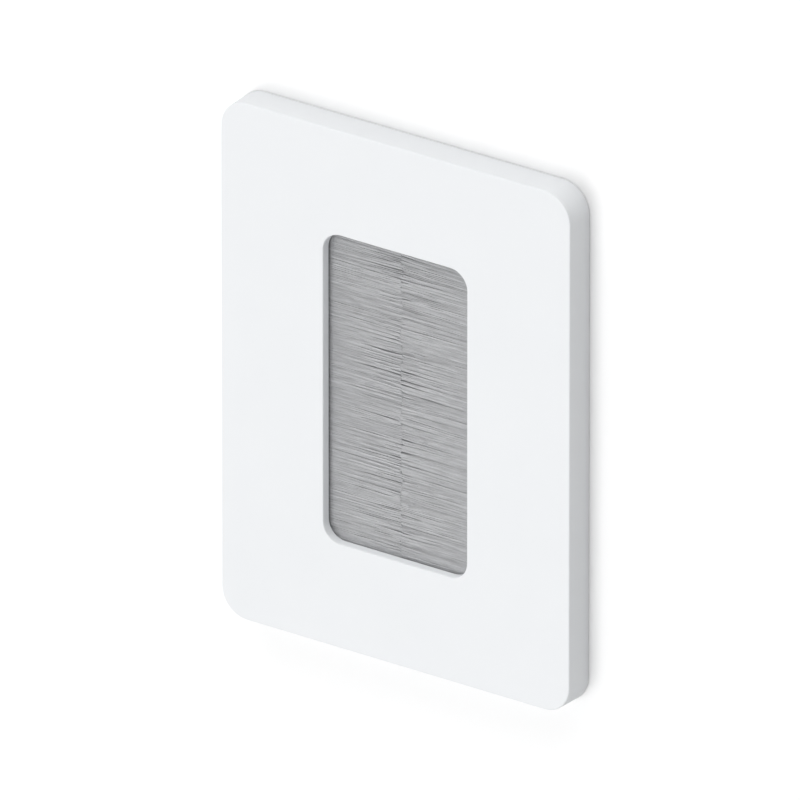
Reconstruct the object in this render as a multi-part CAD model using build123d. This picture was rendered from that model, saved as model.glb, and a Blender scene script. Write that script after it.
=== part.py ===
"""Cable pass-through wall plate with a brush window, in millimetres.

The wall is the plane y = 0 and the plate stands out from it towards -Y, with +Z up.
The origin is midway between the two mounting screws, on the wall.
"""
from build123d import *
from math import atan2, degrees
from random import Random
import os

# Faceplate, the visible cover
face_w = 82.4
face_h = 110.6
face_corner_r = 6.0
cover_depth = 6.35
side_lean = 0.2
front_edge_r = 0.3
front_wall = 1.9
side_wall = 1.6

# Window that the brush closes
window_w = 34.0
window_h = 66.0
window_corner_r = 4.0
window_edge_r = 0.25

# Cover's ribs, hooks and the slot for levering it off
rib_t = 1.0
side_rib_spacing = 40.0
end_rib_spacing = 24.0
rib_gap = 0.6
hook_w = 6.0
hook_t = 1.2
hook_barb = 0.6
hook_spread = 44.0
hook_inset = 6.5
hook_end = 0.35
hook_root = 0.2
pry_slot_w = 8.0
pry_slot_depth = 1.2

# Mounting frame behind the cover
flange_t = 2.0
frame_gap = 0.35
ledge_t = 0.9
slot_side_gap = 0.4
slot_flex_gap = 0.5
slot_catch_gap = 0.15
slot_relief_gap = 0.3
lip_gap = 0.2
lip_t = 0.7
lip_setback = 2.0
pocket_gap = 0.2
pocket_side_wall = 1.5
pocket_end_wall = 3.8
surround_corner_r = 1.5
core_depth = 0.8
core_rib = 1.5
core_corner_r = 0.8

# Strip brushes: folded channel, core wire and bristles
mouth_setback = 2.6
channel_depth = 4.4
channel_sheet = 0.5
channel_bend_r = 0.9
wire_d = 1.2
wire_short = 0.2
brush_overlap = 0.8
brush_setback = 0.3
splay_setback = 0.3
tip_taper = 0.15
ridge_pitch = 0.9
ridge_depth = 0.3
tip_pitch = 1.25
tip_scatter = 0.75
tip_least = 0.25
tip_gap = 0.1

# Retainer and its thread-forming screws
retainer_t = 1.6
retainer_seat = 0.8
retainer_corner_r = 2.0
retainer_edge_r = 0.5
small_screw_spacing = 24.0
small_screw_d = 1.5
small_screw_bite = 3.0
small_head_d = 3.2
small_head_h = 1.0
small_head_r = 0.35
cross_reach = 0.95
cross_w = 0.4
cross_depth = 0.6
small_hole_gap = 0.05
small_passage_gap = 0.2
small_tip_room = 0.3

# Mounting screws, their slots and the washers that keep them in the frame
screw_spacing = 83.3
screw_d = 3.5
screw_neck_d = 2.6
screw_reach = 16.5
screw_tip = 0.6
screw_head_d = 7.0
screw_head_h = 1.5
screw_head_r = 0.75
screw_slot_w = 1.1
screw_slot_depth = 0.7
head_clear = 0.35
head_gap = 0.6
seat_d = 10.0
frame_slot_w = 4.2
frame_slot_l = 5.6
washer_d = 8.4
washer_t = 0.7
washer_bore_gap = 0.05
washer_recess = 0.9
washer_recess_gap = 0.3

# Sizes that follow
inner_depth = cover_depth - front_wall
back_w = face_w + 2 * side_lean
back_h = face_h + 2 * side_lean
inner_w = back_w - 2 * side_wall
inner_h = back_h - 2 * side_wall
inner_corner_r = face_corner_r + side_lean - side_wall
frame_w = inner_w - 2 * frame_gap
frame_h = inner_h - 2 * frame_gap
frame_corner_r = inner_corner_r - frame_gap
mouth_x = window_w / 2 + mouth_setback
channel_x = mouth_x + channel_depth
channel_t = inner_depth - lip_gap - lip_t
brush_half_h = window_h / 2 + brush_overlap
pocket_x = channel_x + pocket_gap
pocket_z = brush_half_h + pocket_gap
surround_x = pocket_x + pocket_side_wall
surround_z = pocket_z + pocket_end_wall
surround_front = inner_depth - lip_gap
screw_z = screw_spacing / 2
seat_t = inner_depth - head_clear - screw_head_h
small_screw_z = pocket_z + pocket_end_wall / 2
hook_side_x = (surround_x + frame_w / 2) / 2
hook_end_z = frame_h / 2 - hook_inset


def bar(x0, x1, y0, y1, z0, z1):
    """A box given by its limits on each axis."""
    return Pos((x0 + x1) / 2, (y0 + y1) / 2, (z0 + z1) / 2) * Box(x1 - x0, y1 - y0, z1 - z0)


def slab(outline, y_front, y_back):
    """An outline drawn in X and Z, made solid from y_front back to y_back."""
    return extrude(Plane.XZ.offset(-y_front) * outline, -(y_back - y_front))


def rod(d, x, z, y_front, y_back):
    """A round bar along Y."""
    return slab(Pos(x, z) * Circle(d / 2), y_front, y_back)


def column(outline, half_h):
    """An outline drawn in X and Y, made solid from -half_h to half_h along Z."""
    return extrude(Plane.XY.offset(-half_h) * outline, 2 * half_h)


def edges_at(part, y, inside_x, inside_z):
    """The edges that lie in the plane y, and within the given half sizes."""
    found = []
    for edge in part.edges():
        box = edge.bounding_box()
        flat = abs(box.min.Y - y) < 1e-4 and abs(box.max.Y - y) < 1e-4
        reach_x = max(abs(box.min.X), abs(box.max.X))
        reach_z = max(abs(box.min.Z), abs(box.max.Z))
        if flat and reach_x <= inside_x + 1e-3 and reach_z <= inside_z + 1e-3:
            found.append(edge)
    return found


def hook_places():
    """Where the six hooks stand: x, z and the turn about Y that faces the barb outwards."""
    places = [(hook_side_x, 0, 90), (-hook_side_x, 0, -90)]
    for x in (-hook_spread / 2, hook_spread / 2):
        places += [(x, hook_end_z, 0), (x, -hook_end_z, 180)]
    return places


def at_hooks(shape):
    return [Pos(x, 0, z) * Rot(0, turn, 0) * shape for x, z, turn in hook_places()]


def hook():
    """One hook of the cover: a flat leg along Y with a barb towards +Z."""
    catch_y = ledge_t - flange_t
    leg = bar(-hook_w / 2, hook_w / 2, -inner_depth - hook_root, -hook_end, -hook_t / 2, hook_t / 2)
    barb = Polyline(
        (catch_y, hook_t / 2 - hook_root), (catch_y, hook_t / 2 + hook_barb),
        (-hook_end, hook_t / 2), (-hook_end, hook_t / 2 - hook_root), close=True)
    return leg + extrude(Plane.YZ.offset(-hook_w / 2) * make_face(barb), hook_w)


def hook_slot():
    """The cut in the frame for one hook: a way through the ledge, and room behind it."""
    half_w = hook_w / 2 + slot_side_gap
    low = -hook_t / 2 - slot_flex_gap
    way = bar(-half_w, half_w, -flange_t, 0, low, hook_t / 2 + slot_catch_gap)
    relief_z = hook_t / 2 + hook_barb + slot_relief_gap
    return way + bar(-half_w, half_w, ledge_t - flange_t, 0, low, relief_z)


def face_cover():
    """The moulded cover: a shallow shell with the window, ribs and hooks."""
    outline = Plane.XZ.offset(cover_depth) * RectangleRounded(face_w, face_h, face_corner_r)
    shell = extrude(outline, -cover_depth, taper=-degrees(atan2(side_lean, cover_depth)))
    shell = fillet(edges_at(shell, -cover_depth, face_w / 2, face_h / 2), front_edge_r)
    shell -= slab(RectangleRounded(inner_w, inner_h, inner_corner_r), -inner_depth, 0)
    shell -= slab(RectangleRounded(window_w, window_h, window_corner_r), -cover_depth, -inner_depth)
    shell = fillet(edges_at(shell, -cover_depth, window_w / 2, window_h / 2), window_edge_r)
    for side in (-1, 1):
        for z in (-side_rib_spacing / 2, side_rib_spacing / 2):
            ends = sorted((side * (surround_x + rib_gap), side * (inner_w / 2 + side_wall / 2)))
            shell += bar(*ends, -inner_depth, -flange_t, z - rib_t / 2, z + rib_t / 2)
        for x in (-end_rib_spacing / 2, end_rib_spacing / 2):
            ends = sorted((side * (surround_z + rib_gap), side * (inner_h / 2 + side_wall / 2)))
            shell += bar(x - rib_t / 2, x + rib_t / 2, -inner_depth, -flange_t, *ends)
    for leg in at_hooks(hook()):
        shell += leg
    return shell - bar(-pry_slot_w / 2, pry_slot_w / 2, -pry_slot_depth, 0, -back_h / 2, -inner_h / 2)


def cored_panels():
    """Where the flange is cored out from behind: x, z, width and height, in the +X +Z quarter."""
    edge_x = frame_w / 2 - core_rib
    edge_z = frame_h / 2 - core_rib
    side_x = surround_x + core_rib
    low_z = hook_w / 2 + slot_side_gap + core_rib
    high_z = edge_z - frame_corner_r
    side_h = (high_z - low_z - core_rib) / 2
    end_x = seat_d / 2 + core_rib
    end_w = hook_spread / 2 - hook_w / 2 - slot_side_gap - core_rib - end_x
    end_z = surround_z + core_rib
    middle_x = (side_x + edge_x) / 2
    return [
        (middle_x, low_z + side_h / 2, edge_x - side_x, side_h),
        (middle_x, high_z - side_h / 2, edge_x - side_x, side_h),
        (end_x + end_w / 2, (end_z + edge_z) / 2, end_w, edge_z - end_z)]


def mounting_frame():
    """The frame on the wall: flange, raised surround with the brush pocket, and screw seats."""
    frame = slab(RectangleRounded(frame_w, frame_h, frame_corner_r), -flange_t, 0)
    surround = RectangleRounded(2 * surround_x, 2 * surround_z, surround_corner_r)
    frame += slab(surround, -surround_front, 0)
    for side in (-1, 1):
        z = side * screw_z
        frame += rod(seat_d, 0, z, -seat_t, 0)
        frame -= rod(screw_head_d + 2 * head_gap, 0, z, -inner_depth, -seat_t)
        frame -= rod(washer_d + 2 * washer_recess_gap, 0, z, -washer_recess, 0)
        frame -= slab(Pos(0, z) * SlotOverall(frame_slot_l, frame_slot_w), -seat_t, 0)
        for x in (-small_screw_spacing / 2, small_screw_spacing / 2):
            hole_d = small_screw_d + 2 * small_hole_gap
            frame -= rod(hole_d, x, side * small_screw_z, -small_screw_bite - small_tip_room, 0)
    frame -= bar(-pocket_x, pocket_x, -channel_t, 0, -pocket_z, pocket_z)
    lip_x = window_w / 2 + lip_setback
    frame -= bar(-lip_x, lip_x, -surround_front, 0, -pocket_z, pocket_z)
    for cut in at_hooks(hook_slot()):
        frame -= cut
    for x, z, w, h in cored_panels():
        panel = RectangleRounded(w, h, core_corner_r)
        for at_x, at_z in ((x, z), (-x, z), (x, -z), (-x, -z)):
            frame -= slab(Pos(at_x, at_z) * panel, -core_depth, 0)
    return frame


def channel(side):
    """The folded sheet channel that grips one brush, open towards the window."""
    outer = Pos((mouth_x + channel_x) / 2, -channel_t / 2) * Rectangle(channel_depth, channel_t)
    outer = fillet(outer.vertices().sort_by(Axis.X)[-2:], channel_bend_r)
    room_x = channel_depth - channel_sheet
    room_y = channel_t - 2 * channel_sheet
    room = Pos(mouth_x + room_x / 2, -channel_t / 2) * Rectangle(room_x, room_y)
    room = fillet(room.vertices().sort_by(Axis.X)[-2:], channel_bend_r - channel_sheet)
    solid = column(outer - room, brush_half_h)
    return solid if side > 0 else mirror(solid, Plane.YZ)


def wire_x():
    """The core wire lies as far from the channel's web as from its two walls."""
    return channel_x - channel_t / 2


def core_wire(side):
    wire = Pos(side * wire_x(), -channel_t / 2) * Circle(wire_d / 2)
    return column(wire, brush_half_h - wire_short)


def seam():
    """The uneven line where the tips of the two brushes meet, from the bottom up."""
    chance = Random(7)
    count = round(2 * brush_half_h / tip_pitch)
    step = 2 * brush_half_h / count
    line = []
    for i in range(count + 1):
        reach = chance.uniform(tip_least, tip_scatter)
        line.append((reach if i % 2 else -reach, -brush_half_h + i * step))
    return line


def ridges(crest, inward, seed):
    """A wavy line along Z for the strands on one face: its crests lie near y = crest."""
    chance = Random(seed)
    count = round(2 * brush_half_h / ridge_pitch)
    step = brush_half_h / count
    line = []
    for i in range(2 * count + 1):
        low, high = (ridge_depth / 2, ridge_depth) if i % 2 else (0, ridge_depth / 4)
        line.append((crest + inward * chance.uniform(low, high), -brush_half_h + i * step))
    return line


def bristles(side):
    """One pack of bristles: pinched in its channel, splayed at the window, ridged by its strands."""
    middle = -channel_t / 2
    grip = channel_t / 2 - channel_sheet
    spread = inner_depth - brush_setback + middle
    splay_x = window_w / 2 + splay_setback
    past_seam = 2 * tip_scatter
    root_x = channel_x - channel_sheet
    plan = Polyline(
        (root_x, middle - grip), (mouth_x, middle - grip), (splay_x, middle - spread),
        (-past_seam, middle - spread + tip_taper), (-past_seam, middle + spread - tip_taper),
        (splay_x, middle + spread), (mouth_x, middle + grip), (root_x, middle + grip), close=True)
    plan = make_face(plan)
    plan = fillet(plan.vertices().sort_by(Axis.X)[-2:], channel_bend_r - channel_sheet)
    pack = column(plan, brush_half_h)
    if side < 0:
        pack = mirror(pack, Plane.YZ)

    tips = [(x + side * tip_gap / 2, z) for x, z in seam()]
    far = side * channel_x
    front_view = make_face(Polyline(*tips, (far, brush_half_h), (far, -brush_half_h), close=True))
    pack &= slab(front_view, middle - spread - 1, middle + spread + 1)

    front = ridges(middle - spread, 1, 11 + side)
    back = ridges(middle + spread, -1, 21 + side)
    end_view = make_face(Polyline(*front, *reversed(back), close=True))
    across = extrude(Plane.YZ.offset(-channel_x - 1) * end_view, 2 * channel_x + 2)
    pack &= across
    wire = Pos(side * wire_x(), middle) * Circle(wire_d / 2)
    return pack - column(wire, brush_half_h)


def brush_retainer():
    """The frame that closes the pocket from behind and holds the channels in."""
    outline = RectangleRounded(2 * (pocket_x + retainer_seat), 2 * surround_z, retainer_corner_r)
    ring = slab(outline, 0, retainer_t)
    ring -= bar(-mouth_x, mouth_x, 0, retainer_t, -pocket_z, pocket_z)
    ring = fillet(edges_at(ring, retainer_t, pocket_x + retainer_seat, surround_z), retainer_edge_r)
    for side in (-1, 1):
        ring -= rod(screw_d + 2 * head_gap, 0, side * screw_z, 0, retainer_t)
        for x in (-small_screw_spacing / 2, small_screw_spacing / 2):
            ring -= rod(small_screw_d + 2 * small_passage_gap, x, side * small_screw_z, 0, retainer_t)
    return ring


def retainer_screws():
    """Four small pan-head screws with a cross recess, driven from behind."""
    head_top = retainer_t + small_head_h
    deep = head_top - cross_depth
    half_w = cross_w / 2
    group = []
    for x in (-small_screw_spacing / 2, small_screw_spacing / 2):
        for z in (-small_screw_z, small_screw_z):
            screw = rod(small_screw_d, x, z, -small_screw_bite, retainer_t)
            head = rod(small_head_d, x, z, retainer_t, head_top)
            screw += fillet(head.edges().sort_by(Axis.Y)[-1:], small_head_r)
            screw -= bar(x - cross_reach, x + cross_reach, deep, head_top, z - half_w, z + half_w)
            screw -= bar(x - half_w, x + half_w, deep, head_top, z - cross_reach, z + cross_reach)
            group.append(screw)
    return group


def mounting_screws():
    """Two slotted screws for the wall box, threaded from the wall on, with a thinner neck."""
    group = []
    for z in (-screw_z, screw_z):
        thread = rod(screw_d, 0, z, 0, screw_reach)
        thread = chamfer(thread.edges().sort_by(Axis.Y)[-1:], screw_tip)
        neck = rod(screw_neck_d, 0, z, -seat_t, 0)
        top = -seat_t - screw_head_h
        head = rod(screw_head_d, 0, z, top, -seat_t)
        head = fillet(head.edges().sort_by(Axis.Y)[:1], screw_head_r)
        screw = thread + neck + head
        half = screw_head_d / 2
        screw -= bar(-half, half, top, top + screw_slot_depth, z - screw_slot_w / 2, z + screw_slot_w / 2)
        group.append(screw)
    return group


def screw_washers():
    """Two plastic washers round the screws' necks, which can't pass the thread and drop out."""
    group = []
    for z in (-screw_z, screw_z):
        disc = rod(washer_d, 0, z, -washer_recess, washer_t - washer_recess)
        group.append(disc - rod(screw_neck_d + 2 * washer_bore_gap, 0, z, -washer_recess, 0))
    return group


def save(name, shape):
    if isinstance(shape, list):
        solids = [solid for item in shape for solid in item.solids()]
        shape = Compound(children=solids)
    export_step(shape, f"parts/{name}.step")


os.makedirs("parts", exist_ok=True)
save("face_cover", face_cover())
save("mounting_frame", mounting_frame())
save("brush_retainer", brush_retainer())
for name, side in (("left", -1), ("right", 1)):
    save(f"channel_{name}", channel(side))
    save(f"core_wire_{name}", core_wire(side))
    save(f"bristles_{name}", bristles(side))
save("retainer_screws", retainer_screws())
save("mounting_screws", mounting_screws())
save("screw_washers", screw_washers())
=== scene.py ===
"""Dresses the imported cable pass-through wall plate: bristles, screw threads, materials, stage and light."""
import math

import bmesh
import bpy
import numpy as np
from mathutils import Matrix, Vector


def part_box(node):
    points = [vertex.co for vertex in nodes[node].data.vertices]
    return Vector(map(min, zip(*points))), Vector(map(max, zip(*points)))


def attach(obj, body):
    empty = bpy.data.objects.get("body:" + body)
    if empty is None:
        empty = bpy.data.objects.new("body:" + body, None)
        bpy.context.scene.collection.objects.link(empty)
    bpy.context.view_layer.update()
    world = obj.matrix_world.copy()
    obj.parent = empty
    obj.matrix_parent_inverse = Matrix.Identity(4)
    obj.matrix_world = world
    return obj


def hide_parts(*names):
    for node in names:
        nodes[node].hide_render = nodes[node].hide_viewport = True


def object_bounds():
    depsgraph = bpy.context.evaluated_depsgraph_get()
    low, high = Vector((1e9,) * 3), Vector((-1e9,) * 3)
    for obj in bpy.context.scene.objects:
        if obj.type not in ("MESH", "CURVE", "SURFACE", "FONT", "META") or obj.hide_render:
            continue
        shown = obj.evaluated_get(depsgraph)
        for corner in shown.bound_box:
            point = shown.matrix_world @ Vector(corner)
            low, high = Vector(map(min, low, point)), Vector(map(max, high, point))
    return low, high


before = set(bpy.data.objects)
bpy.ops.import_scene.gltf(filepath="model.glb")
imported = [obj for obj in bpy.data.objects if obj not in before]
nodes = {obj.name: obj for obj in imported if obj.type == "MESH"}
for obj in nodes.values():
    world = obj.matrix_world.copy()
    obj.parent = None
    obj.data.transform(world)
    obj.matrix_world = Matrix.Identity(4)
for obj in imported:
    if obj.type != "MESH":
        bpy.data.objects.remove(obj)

MM = 0.001
cad_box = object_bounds()

# Photograph: 800 px square, seen from the right and above through a very long lens
image_px = 800
focal_px = 36000
px_per_mm = 5.164
azimuth = 35.0
elevation = 25.0
face_centre_px = (394.25, 406.3)
sensor_mm = 36.0

# Bristles, in mm: rows of filaments under both faces, each a depth and its share of a full row
filament_d = 0.22
thickness_share = (0.94, 1.06)
tube_sides = 4
row_pitch = 0.2
rows = ((0.0, 1.0), (0.12, 1.0), (0.26, 1.0), (0.5, 0.5), (0.95, 0.5), (1.5, 0.5))
end_room = 0.02
sheet_t = 0.5

# Places along a filament from the middle of the window, and where the tips meet, in mm
root_depth = 0.6
splay_x = 17.3
bend_x = (14.0, 10.5, 7.0, 3.5)
tip_reach = 0.2
seam_reach = 0.22
seam_phases = (0.7, 2.1, 4.4)

# How filaments stray, alone, in clumps and with their neighbours. Lengths are in mm; tilt, bend
# and lift are measured at the tip; count, pull, curve, shares and size have no unit
root_jitter = 0.03
clump_count = 200
clump_pitch = (0.5, 1.05)
clump_pull = (0.12, 0.34)
clump_tilt = 0.17
clump_bend = 0.065
clump_round = 0.5
stray_tilt = 0.09
stray_bend = 0.02
stray_lift = 0.05
lean_curve = 1.5
sway_length = 9.0
sway_tilt = 0.18
sway_shares = (1.0, 0.62, 0.41)
sway_size = 1.3

# Mounting screws' thread: lengths in mm, shares of the pitch, sides round it, and in degrees the
# angle over which an edge stays sharp. The wall margin and weld gap are in mm as well
thread_major_r = 1.75
thread_pitch = 0.794
thread_depth = 0.43
crest_share = 0.125
root_share = 0.25
thread_chamfer = 0.6
thread_sides = 32
sharp_angle = 40
wall_margin = 0.001
weld_gap = 0.0001

# Materials: the two ends of each colour, the part of a pattern that lies between them, and how
# a pattern is stretched
cover_tones = ((0.868, 0.886, 0.904), (0.878, 0.895, 0.912))
frame_tones = ((0.79, 0.8, 0.81), (0.82, 0.83, 0.84))
aluminium_tones = ((0.68, 0.69, 0.7), (0.8, 0.81, 0.82))
wire_tones = ((0.5, 0.5, 0.5), (0.66, 0.66, 0.65))
zinc_tones = ((0.56, 0.565, 0.565), (0.64, 0.635, 0.615))
# The zinc is multiplied by a painted shade: dark where the surface curves inward, full where it is flat or
# bulges
painted_groove_shade_tones = ((0.3, 0.3, 0.3), (1, 1, 1))
painted_groove_shade_span = (0.44, 0.52)
washer_tones = ((0.84, 0.83, 0.79), (0.88, 0.87, 0.84))
nylon_tones = ((0.585, 0.59, 0.603), (0.645, 0.651, 0.666))
# Painted sheen: light and dark streaks along the filaments that stand in for glints
painted_sheen_tones = ((0.82, 0.82, 0.82), (1, 1, 1))
pattern_span = (0.3, 0.7)
along_x = (0.12, 1, 1)
along_z = (1, 1, 0.04)

# Stage: the wall in mm where it meets the plate, the rest in metres, and its levels
wall_gap = 0.15
wall_lap = 0.3
wall_lip = 0.14
opening_corner_r = 5.9
corner_steps = 8
wall_reach = 0.35
wall_corner_r = 0.05
floor_z = -0.15
floor_reach = 0.5
wall_shown = 1.09
wall_lit = 0.68
floor_shown = 1.1
floor_lit = 0.8

# Levels of light, where 1 shows a colour as it is written, and the directions they hold in
right_level = 0.49
left_level = 0.74
side_turn = 0.15
upper_share = 0.75
lower_share = 1.25
height_turn = 0.25
box_level = 3.6
box_x = (-0.46, -0.06)
box_z = (-0.56, -0.01)
box_soft = 0.05
zenith_level = 2.9
zenith_start = 0.7
back_level = 0.95
back_turn = 0.1
seen_level = 1.0


# Camera

def make_camera():
    """The photograph's view: the face's centre lands on its pixel."""
    a, e = math.radians(azimuth), math.radians(elevation)
    right = Vector((math.cos(a), math.sin(a), 0))
    back = Vector((math.sin(a) * math.cos(e), -math.cos(a) * math.cos(e), math.sin(e)))
    up = back.cross(right)
    centre_px = (image_px - 1) / 2
    across = (centre_px - face_centre_px[0]) / px_per_mm * MM
    above = (face_centre_px[1] - centre_px) / px_per_mm * MM
    face_centre = Vector((0, cad_box[0].y, 0))
    data = bpy.data.cameras.new("camera")
    data.sensor_width = sensor_mm
    data.lens = focal_px / image_px * sensor_mm
    camera = bpy.data.objects.new("camera", data)
    camera.location = face_centre + right * across + up * above + back * (focal_px / px_per_mm * MM)
    camera.rotation_mode = "QUATERNION"
    camera.rotation_quaternion = (-back).to_track_quat("-Z", "Y")
    bpy.context.scene.collection.objects.link(camera)
    bpy.context.scene.camera = camera


# Node helpers

def new_material(name):
    """A node material: (material, tree, its Principled shader)."""
    material = bpy.data.materials.new(name)
    material.use_nodes = True
    tree = material.node_tree
    return material, tree, tree.nodes["Principled BSDF"]


def noise(tree, scale, stretch=(1, 1, 1), detail=2.0):
    """A noise pattern in the object's own coordinates, in grains per metre along each axis."""
    place = tree.nodes.new("ShaderNodeTexCoord")
    mapping = tree.nodes.new("ShaderNodeMapping")
    mapping.inputs["Scale"].default_value = stretch
    texture = tree.nodes.new("ShaderNodeTexNoise")
    texture.inputs["Scale"].default_value = scale
    texture.inputs["Detail"].default_value = detail
    tree.links.new(place.outputs["Object"], mapping.inputs["Vector"])
    tree.links.new(mapping.outputs["Vector"], texture.inputs["Vector"])
    return texture.outputs["Fac"]


def ramp(tree, value, start, end, low, high):
    """A number that goes from low to high as value goes from start to end, and stays there."""
    node = tree.nodes.new("ShaderNodeMapRange")
    node.inputs["From Min"].default_value = start
    node.inputs["From Max"].default_value = end
    node.inputs["To Min"].default_value = low
    node.inputs["To Max"].default_value = high
    tree.links.new(value, node.inputs["Value"])
    return node.outputs["Result"]


def between(tree, value, tones, span=pattern_span):
    """A colour that goes from the first tone to the second as value crosses the span."""
    node = tree.nodes.new("ShaderNodeValToRGB")
    for element, place, tone in zip(node.color_ramp.elements, span, tones):
        element.position = place
        element.color = (*tone, 1)
    tree.links.new(value, node.inputs["Fac"])
    return node.outputs["Color"]


def times(tree, a, b):
    """One colour multiplied by another."""
    node = tree.nodes.new("ShaderNodeMix")
    node.data_type = "RGBA"
    node.blend_type = "MULTIPLY"
    node.inputs["Factor"].default_value = 1.0
    tree.links.new(a, node.inputs["A"])
    tree.links.new(b, node.inputs["B"])
    return node.outputs["Result"]


def coat(tree, shader, colour, grain, rough, height_mm=0):
    """Gives the shader a colour, and a roughness and a relief that follow the grain."""
    tree.links.new(colour, shader.inputs["Base Color"])
    tree.links.new(ramp(tree, grain, *pattern_span, *rough), shader.inputs["Roughness"])
    if height_mm:
        node = tree.nodes.new("ShaderNodeBump")
        node.inputs["Distance"].default_value = height_mm * MM
        tree.links.new(grain, node.inputs["Height"])
        tree.links.new(node.outputs["Normal"], shader.inputs["Normal"])


# Materials

def cover_plastic():
    """Smooth white moulding: a soft satin with a very fine grain."""
    material, tree, shader = new_material("cover_plastic")
    tone = between(tree, noise(tree, scale=60), cover_tones)
    coat(tree, shader, tone, noise(tree, scale=4000), rough=(0.42, 0.5), height_mm=0.002)
    return material


def frame_plastic():
    """Matt white moulding with the light texture of a spark-eroded tool."""
    material, tree, shader = new_material("frame_plastic")
    tone = between(tree, noise(tree, scale=90), frame_tones)
    coat(tree, shader, tone, noise(tree, scale=2600, detail=4), rough=(0.55, 0.68), height_mm=0.02)
    return material


def drawn_metal(name, tones, scale, rough):
    """Bare metal with fine lines along Z, the way it was rolled or drawn."""
    material, tree, shader = new_material(name)
    shader.inputs["Metallic"].default_value = 1.0
    lines = noise(tree, scale, along_z, detail=3)
    coat(tree, shader, between(tree, lines, tones), lines, rough, height_mm=0.004)
    return material


def zinc_plate():
    """Zinc plate with a calm grain, and painted shade that darkens it where the surface curves inward, in the
    thread's roots and the slots.
    """
    material, tree, shader = new_material("screw_steel")
    shader.inputs["Metallic"].default_value = 1.0
    grain = noise(tree, scale=500, detail=3)
    # Painted shade in the grooves and slots, read from how the surface curves
    shape = tree.nodes.new("ShaderNodeNewGeometry")
    painted_groove_shade = between(tree, shape.outputs["Pointiness"], painted_groove_shade_tones, painted_groove_shade_span)
    tone = times(tree, between(tree, grain, zinc_tones), painted_groove_shade)
    coat(tree, shader, tone, grain, rough=(0.24, 0.34), height_mm=0.002)
    return material


def washer_plastic():
    """Natural polyethylene: milky and a little see-through."""
    material, tree, shader = new_material("washer_plastic")
    shader.inputs["Subsurface Weight"].default_value = 0.3
    shader.inputs["Subsurface Scale"].default_value = 0.4 * MM
    grain = noise(tree, scale=700)
    coat(tree, shader, between(tree, grain, washer_tones), grain, rough=(0.42, 0.55), height_mm=0.008)
    return material


def bristle_nylon():
    """Grey nylon filaments: each has its own tone, with painted sheen in soft streaks along the strands."""
    material, tree, shader = new_material("bristle_nylon")
    island = tree.nodes.new("ShaderNodeNewGeometry")
    own = between(tree, island.outputs["Random Per Island"], nylon_tones)
    # Painted sheen in streaks along the strands; the same streaks vary the roughness
    painted_sheen_streaks = noise(tree, scale=3000, stretch=along_x)
    tone = times(tree, own, between(tree, painted_sheen_streaks, painted_sheen_tones))
    coat(tree, shader, tone, painted_sheen_streaks, rough=(0.36, 0.48))
    return material


def dress_nodes():
    """Gives each CAD node its material."""
    white = cover_plastic()
    matt = frame_plastic()
    aluminium = drawn_metal("channel_metal", aluminium_tones, scale=2500, rough=(0.3, 0.42))
    steel = drawn_metal("wire_steel", wire_tones, scale=3000, rough=(0.26, 0.36))
    zinc = zinc_plate()
    milky = washer_plastic()
    nylon = bristle_nylon()
    chosen = {
        "face_cover": white, "mounting_frame": matt, "brush_retainer": matt,
        "channel_left": aluminium, "channel_right": aluminium,
        "core_wire_left": steel, "core_wire_right": steel,
        "bristles_left": nylon, "bristles_right": nylon,
        "retainer_screws": zinc, "mounting_screws": zinc, "screw_washers": milky}
    for name, material in chosen.items():
        nodes[name].data.materials.clear()
        nodes[name].data.materials.append(material)
    return nylon, zinc


# Bristles

def sway(heights, phases):
    """A smooth chance curve along the brush, of about unit size."""
    total = np.zeros_like(heights)
    for share, phase in zip(sway_shares, phases):
        total += np.sin(heights / (sway_length * share) * math.tau + phase) * share
    return total / sway_size


def filament_row(half_h, shift, share, phases, gone, chance):
    """One row of filaments: each one's height at every station, and its distance from its
    clump's middle. They lean with their neighbours, with their clump and a little by themselves."""
    count = int(2 * half_h / row_pitch * share)
    foot = np.linspace(-half_h, half_h, count) + shift + chance.normal(0, root_jitter, count)
    places = np.cumsum(chance.uniform(*clump_pitch, clump_count)) - half_h - clump_pitch[0]
    own = np.abs(foot[:, None] - places[None, :]).argmin(1)
    off = foot - places[own]
    lean = sway_tilt * sway(foot, phases) - chance.uniform(*clump_pull, clump_count)[own] * off
    lean += chance.normal(0, clump_tilt, clump_count)[own] + chance.normal(0, stray_tilt, count)
    bend = chance.normal(0, clump_bend, (clump_count, gone.size))[own]
    bend += chance.normal(0, stray_bend, (count, gone.size))
    return foot[:, None] + lean[:, None] * gone ** lean_curve + bend * gone, off


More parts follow.
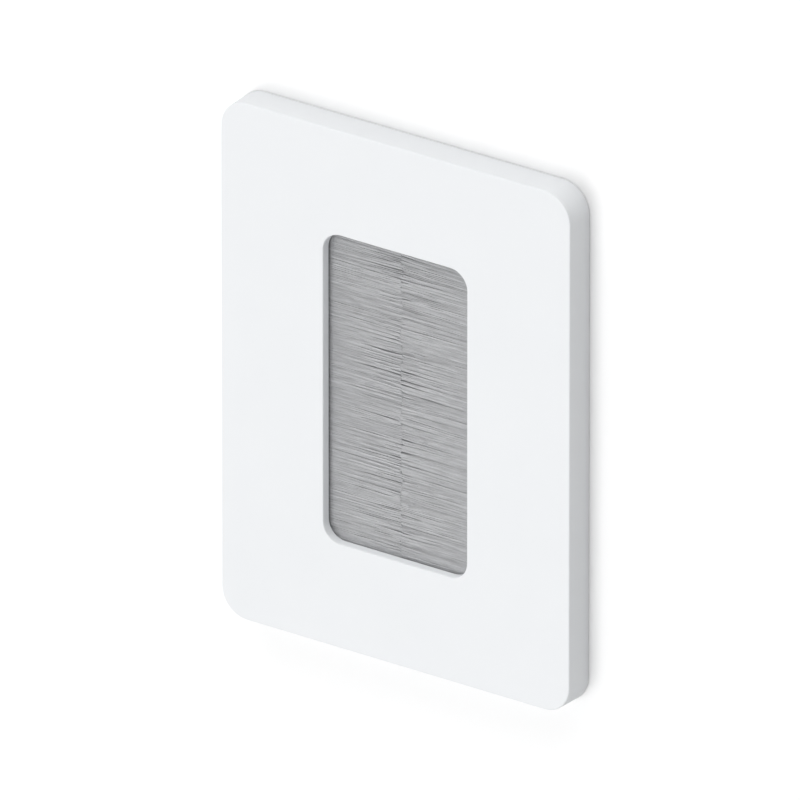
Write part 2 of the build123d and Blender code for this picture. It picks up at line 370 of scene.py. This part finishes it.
def filament_lines(side, chance):
    """Points along each filament in mm, from its root in the channel to its tip."""
    low, high = (np.array(corner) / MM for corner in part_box("bristles_right"))
    channel_low, channel_high = (np.array(corner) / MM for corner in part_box("channel_right"))
    mouth_x = channel_low[0]
    middle = (channel_low[1] + channel_high[1]) / 2
    half_h = high[2] - filament_d / 2 - end_room
    full_y = (high[1] - low[1]) / 2 - filament_d / 2
    grip_y = (channel_high[1] - channel_low[1]) / 2 - sheet_t - filament_d / 2
    station_x = np.array((mouth_x + root_depth, mouth_x, splay_x, *bend_x, 0.0))

    # The share of the way from the channel's mouth to the middle of the window
    gone = np.clip((mouth_x - station_x) / mouth_x, 0, 1)
    half_y = grip_y + (full_y - grip_y) * np.clip((mouth_x - station_x) / (mouth_x - splay_x), 0, 1)
    pieces = []
    for face in (-1, 1):
        phases = chance.uniform(0, math.tau, len(sway_shares))
        for number, (depth, share) in enumerate(rows):
            shift = row_pitch / 2 * (number % 2)
            height, off = filament_row(half_h, shift, share, phases, gone, chance)
            lift = chance.normal(0, stray_lift, len(off)) - face * clump_round * off ** 2
            y = face * (1 - depth / full_y) * half_y + lift[:, None] * gone
            line = np.zeros((len(off), len(station_x), 3))
            line[:, :, 0] = side * station_x
            line[:, -1, 0] = chance.uniform(-tip_reach, tip_reach, len(off))
            line[:, -1, 0] += seam_reach * sway(height[:, -1], seam_phases)
            line[:, :, 1] = middle + np.clip(y, -half_y, half_y)
            line[:, :, 2] = np.clip(height, -half_h, half_h)
            pieces.append(line)
    return np.concatenate(pieces)


def add_piece(name, points, faces, material, slot, *replaced):
    """A smooth mesh in metres that rides on the plate and stands for CAD nodes."""
    mesh = bpy.data.meshes.new(name)
    mesh.from_pydata(points, [], faces)
    mesh.materials.append(material)
    mesh.polygons.foreach_set("use_smooth", [True] * len(mesh.polygons))
    mesh.update()
    piece = bpy.data.objects.new(name, mesh)
    bpy.context.scene.collection.objects.link(piece)
    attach(piece, "root")
    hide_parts(*replaced)


def bristle_piece(name, side, seed, material):
    """One brush's filaments, each a thin four-sided tube."""
    chance = np.random.default_rng(seed)
    lines = filament_lines(side, chance)
    count, stations, _ = lines.shape
    thick = filament_d / 2 * chance.uniform(*thickness_share, count)

    # The end caps repeat the first and last rings, so that they stay flat
    lines = np.concatenate([lines, lines[:, :1], lines[:, -1:]], axis=1)
    rings = stations + 2
    points = np.zeros((count, rings, tube_sides, 3))
    for corner in range(tube_sides):
        angle = corner * math.tau / tube_sides
        points[:, :, corner, 0] = lines[:, :, 0]
        points[:, :, corner, 1] = lines[:, :, 1] + (thick * math.cos(angle))[:, None]
        points[:, :, corner, 2] = lines[:, :, 2] + side * (thick * math.sin(angle))[:, None]
    start = np.arange(count)[:, None] * rings * tube_sides
    quads = []
    for station in range(stations - 1):
        for corner in range(tube_sides):
            a = station * tube_sides + corner
            b = station * tube_sides + (corner + 1) % tube_sides
            quads.append([a, a + tube_sides, b + tube_sides, b])
    root, tip = stations * tube_sides, (stations + 1) * tube_sides
    quads.append([root + corner for corner in range(tube_sides)])
    quads.append([tip + corner for corner in reversed(range(tube_sides))])
    faces = (start[:, None, :] + np.array(quads)[None, :, :]).reshape(-1, tube_sides)
    points = (points.reshape(-1, 3) * MM).tolist()
    add_piece(name, points, faces.tolist(), material, "bristle_nylon", name.replace("filaments", "bristles"))


# Screw threads

def thread_cut(phase):
    """How deep the thread is cut, from 0 to 1, at a share of the pitch from the crest's middle."""
    from_crest = abs((phase + 0.5) % 1.0 - 0.5)
    return min(1.0, max(0.0, (from_crest - crest_share / 2) / (0.5 - (crest_share + root_share) / 2)))


def thread_mesh(centre_z, start_y, end_y):
    """A right-hand thread from the wall to its pointed end, in rows that follow the helix:
    (points, faces), in mm. Points beyond an end lie on that end."""
    turns = math.ceil((end_y - start_y) / thread_pitch) + 1
    edges = (-crest_share / 2, crest_share / 2, 0.5 - root_share / 2, 0.5 + root_share / 2)
    places = [turn + edge for turn in range(-1, turns) for edge in edges]
    points = []
    for place in places:
        for side in range(thread_sides):
            angle = math.tau * side / thread_sides
            y = start_y + thread_pitch * (place + side / thread_sides)
            y = min(max(y, start_y), end_y)
            phase = (y - start_y) / thread_pitch - side / thread_sides
            point_r = thread_major_r - max(0.0, thread_chamfer - (end_y - y))
            r = min(thread_major_r - thread_depth * thread_cut(phase), point_r)
            points.append((r * math.cos(angle), y, centre_z - r * math.sin(angle)))
    last = len(places) - 1
    faces = []
    for row in range(last):
        for side in range(thread_sides):
            quad = []
            for up, along in ((row, side), (row, side + 1), (row + 1, side + 1), (row + 1, side)):
                if along == thread_sides:
                    up, along = min(up + len(edges), last), 0
                quad.append(up * thread_sides + along)
            if len({points[i][1] for i in quad}) > 1:
                faces.append(tuple(quad))
    faces.append(tuple(reversed(range(thread_sides))))
    faces.append(tuple(last * thread_sides + side for side in range(thread_sides)))
    return points, faces


def threaded_screws(material):
    """The mounting screws with a real thread: heads and necks as in CAD, and a helix behind them."""
    made = bmesh.new()
    made.from_mesh(nodes["mounting_screws"].data)
    shank = [face for face in made.faces if all(vert.co.y > -wall_margin * MM for vert in face.verts)]
    bmesh.ops.delete(made, geom=shank, context="FACES")
    low, high = (np.array(corner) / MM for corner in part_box("mounting_screws"))
    screw_z = high[2] - high[0]
    for centre_z in (-screw_z, screw_z):
        points, faces = thread_mesh(centre_z, 0.0, high[1])
        verts = [made.verts.new(Vector(point) * MM) for point in points]
        for face in faces:
            made.faces.new([verts[i] for i in face])
        bmesh.ops.remove_doubles(made, verts=verts, dist=weld_gap * MM)
    mesh = bpy.data.meshes.new("threaded_screws")
    made.to_mesh(mesh)
    made.free()
    mesh.materials.clear()
    mesh.materials.append(material)
    mesh.polygons.foreach_set("use_smooth", [True] * len(mesh.polygons))
    piece = bpy.data.objects.new("threaded_screws", mesh)
    bpy.context.scene.collection.objects.link(piece)
    bpy.context.view_layer.objects.active = piece
    piece.select_set(True)
    bpy.ops.object.shade_auto_smooth(angle=math.radians(sharp_angle))
    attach(piece, "root")
    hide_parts("mounting_screws")


# Stage

def rounded_outline(half_x, low_z, high_z, radius, y):
    """Points round a rectangle with rounded corners in the wall's plane, in metres."""
    points = []
    for quarter, (x, z) in enumerate(((1, 1), (-1, 1), (-1, -1), (1, -1))):
        centre_x = x * (half_x - radius)
        centre_z = high_z - radius if z > 0 else low_z + radius
        for step in range(corner_steps + 1):
            angle = (quarter + step / corner_steps) * math.tau / 4
            points.append((centre_x + radius * math.cos(angle), y, centre_z + radius * math.sin(angle)))
    return points


def stage_sheet(name, points, faces, material):
    """A sheet of the stage, seen from the side its corners turn about."""
    mesh = bpy.data.meshes.new(name)
    mesh.from_pydata(points, [], faces)
    mesh.materials.append(material)
    sheet = bpy.data.objects.new(name, mesh)
    bpy.context.scene.collection.objects.link(sheet)
    return sheet


def stage_material(name, shown, lit, one_sided):
    """Pale and matt, paler for the camera than for the light that it throws back."""
    material, tree, shader = new_material(name)
    tree.nodes.remove(shader)
    rays = tree.nodes.new("ShaderNodeLightPath")
    tone = tree.nodes.new("ShaderNodeMix")
    tone.data_type = "RGBA"
    tone.inputs["A"].default_value = (lit, lit, lit, 1)
    tone.inputs["B"].default_value = (shown, shown, shown, 1)
    tree.links.new(rays.outputs["Is Camera Ray"], tone.inputs["Factor"])
    matt = tree.nodes.new("ShaderNodeBsdfDiffuse")
    tree.links.new(tone.outputs["Result"], matt.inputs["Color"])
    out = tree.nodes["Material Output"]
    tree.links.new(matt.outputs["BSDF"], out.inputs["Surface"])
    if one_sided:
        clear = tree.nodes.new("ShaderNodeBsdfTransparent")
        side = tree.nodes.new("ShaderNodeNewGeometry")
        either = tree.nodes.new("ShaderNodeMixShader")
        tree.links.new(side.outputs["Backfacing"], either.inputs["Fac"])
        tree.links.new(matt.outputs["BSDF"], either.inputs[1])
        tree.links.new(clear.outputs["BSDF"], either.inputs[2])
        tree.links.new(either.outputs["Shader"], out.inputs["Surface"])
    return material


def make_wall():
    """The white wall that the plate lies on, seen only from the room. It is open behind the
    plate, with a lip that keeps light from behind out of the gap."""
    wall_y = wall_gap * MM
    edge = cad_box[1] - Vector((wall_lap, 0, wall_lap)) * MM
    outer = rounded_outline(wall_reach, floor_z, wall_reach, wall_corner_r, wall_y)
    inner = rounded_outline(edge.x, -edge.z, edge.z, opening_corner_r * MM, wall_y)
    lip = [(x, wall_y - wall_lip * MM, z) for x, _, z in inner]
    around = len(outer)
    faces = []
    for i in range(around):
        after = (i + 1) % around
        faces.append((i, after, after + around, i + around))
        faces.append((i + around, after + around, after + 2 * around, i + 2 * around))
    material = stage_material("wall", wall_shown, wall_lit, one_sided=True)
    stage_sheet("wall", outer + inner + lip, faces, material)


def make_floor():
    """A pale floor that neither shades nor lights the plate."""
    corners = [(x * floor_reach, y * floor_reach, floor_z) for x, y in ((-1, -1), (1, -1), (1, 1), (-1, 1))]
    material = stage_material("floor", floor_shown, floor_lit, one_sided=False)
    floor = stage_sheet("floor", corners, [(0, 1, 2, 3)], material)
    floor.visible_diffuse = False
    floor.visible_shadow = False


# Light

def combine(tree, operation, a, b):
    """Two numbers joined by an operation."""
    node = tree.nodes.new("ShaderNodeMath")
    node.operation = operation
    tree.links.new(a, node.inputs[0])
    tree.links.new(b, node.inputs[1])
    return node.outputs["Value"]


def toward(tree, factor, value, fixed):
    """A number that goes from value to a fixed number by the factor."""
    node = tree.nodes.new("ShaderNodeMix")
    tree.links.new(factor, node.inputs["Factor"])
    tree.links.new(value, node.inputs["A"])
    node.inputs["B"].default_value = fixed
    return node.outputs["Result"]


def between_edges(tree, value, edges, level):
    """A number that is level where value lies between two soft edges and 0 elsewhere."""
    low, high = edges
    rise = ramp(tree, value, low - box_soft, low + box_soft, 0, level)
    fall = ramp(tree, value, high - box_soft, high + box_soft, 1, 0)
    return combine(tree, "MULTIPLY", rise, fall)


def make_world():
    """Soft studio light: brighter from the left and below, with a bright box a little left of
    and below the viewer and a narrow glow overhead. It is white where it is seen or mirrored."""
    world = bpy.data.worlds.new("world")
    bpy.context.scene.world = world
    world.use_nodes = True
    tree = world.node_tree
    place = tree.nodes.new("ShaderNodeTexCoord")
    axes = tree.nodes.new("ShaderNodeSeparateXYZ")
    tree.links.new(place.outputs["Generated"], axes.inputs["Vector"])
    x, y, z = axes.outputs["X"], axes.outputs["Y"], axes.outputs["Z"]
    across = ramp(tree, x, side_turn, -side_turn, right_level, left_level)
    upward = ramp(tree, z, -height_turn, height_turn, lower_share, upper_share)
    dome = combine(tree, "MULTIPLY", across, upward)
    wide = between_edges(tree, x, box_x, box_level)
    tall = between_edges(tree, z, box_z, 1)
    front = combine(tree, "ADD", dome, combine(tree, "MULTIPLY", wide, tall))
    level = toward(tree, ramp(tree, y, 0.0, back_turn, 0, 1), front, back_level)
    level = combine(tree, "ADD", level, ramp(tree, z, zenith_start, 1.0, 0, zenith_level))
    rays = tree.nodes.new("ShaderNodeLightPath")
    seen = combine(tree, "MAXIMUM", rays.outputs["Is Camera Ray"], rays.outputs["Is Glossy Ray"])
    seen = combine(tree, "MAXIMUM", seen, rays.outputs["Is Transmission Ray"])
    sky = tree.nodes["Background"]
    tree.links.new(toward(tree, seen, level, seen_level), sky.inputs["Strength"])
    sky.inputs["Color"].default_value = (1, 1, 1, 1)


make_camera()
make_wall()
make_floor()
make_world()
bpy.context.scene.view_settings.view_transform = "Standard"
nylon, zinc = dress_nodes()
bristle_piece("filaments_left", -1, 3, nylon)
bristle_piece("filaments_right", 1, 5, nylon)
threaded_screws(zinc)
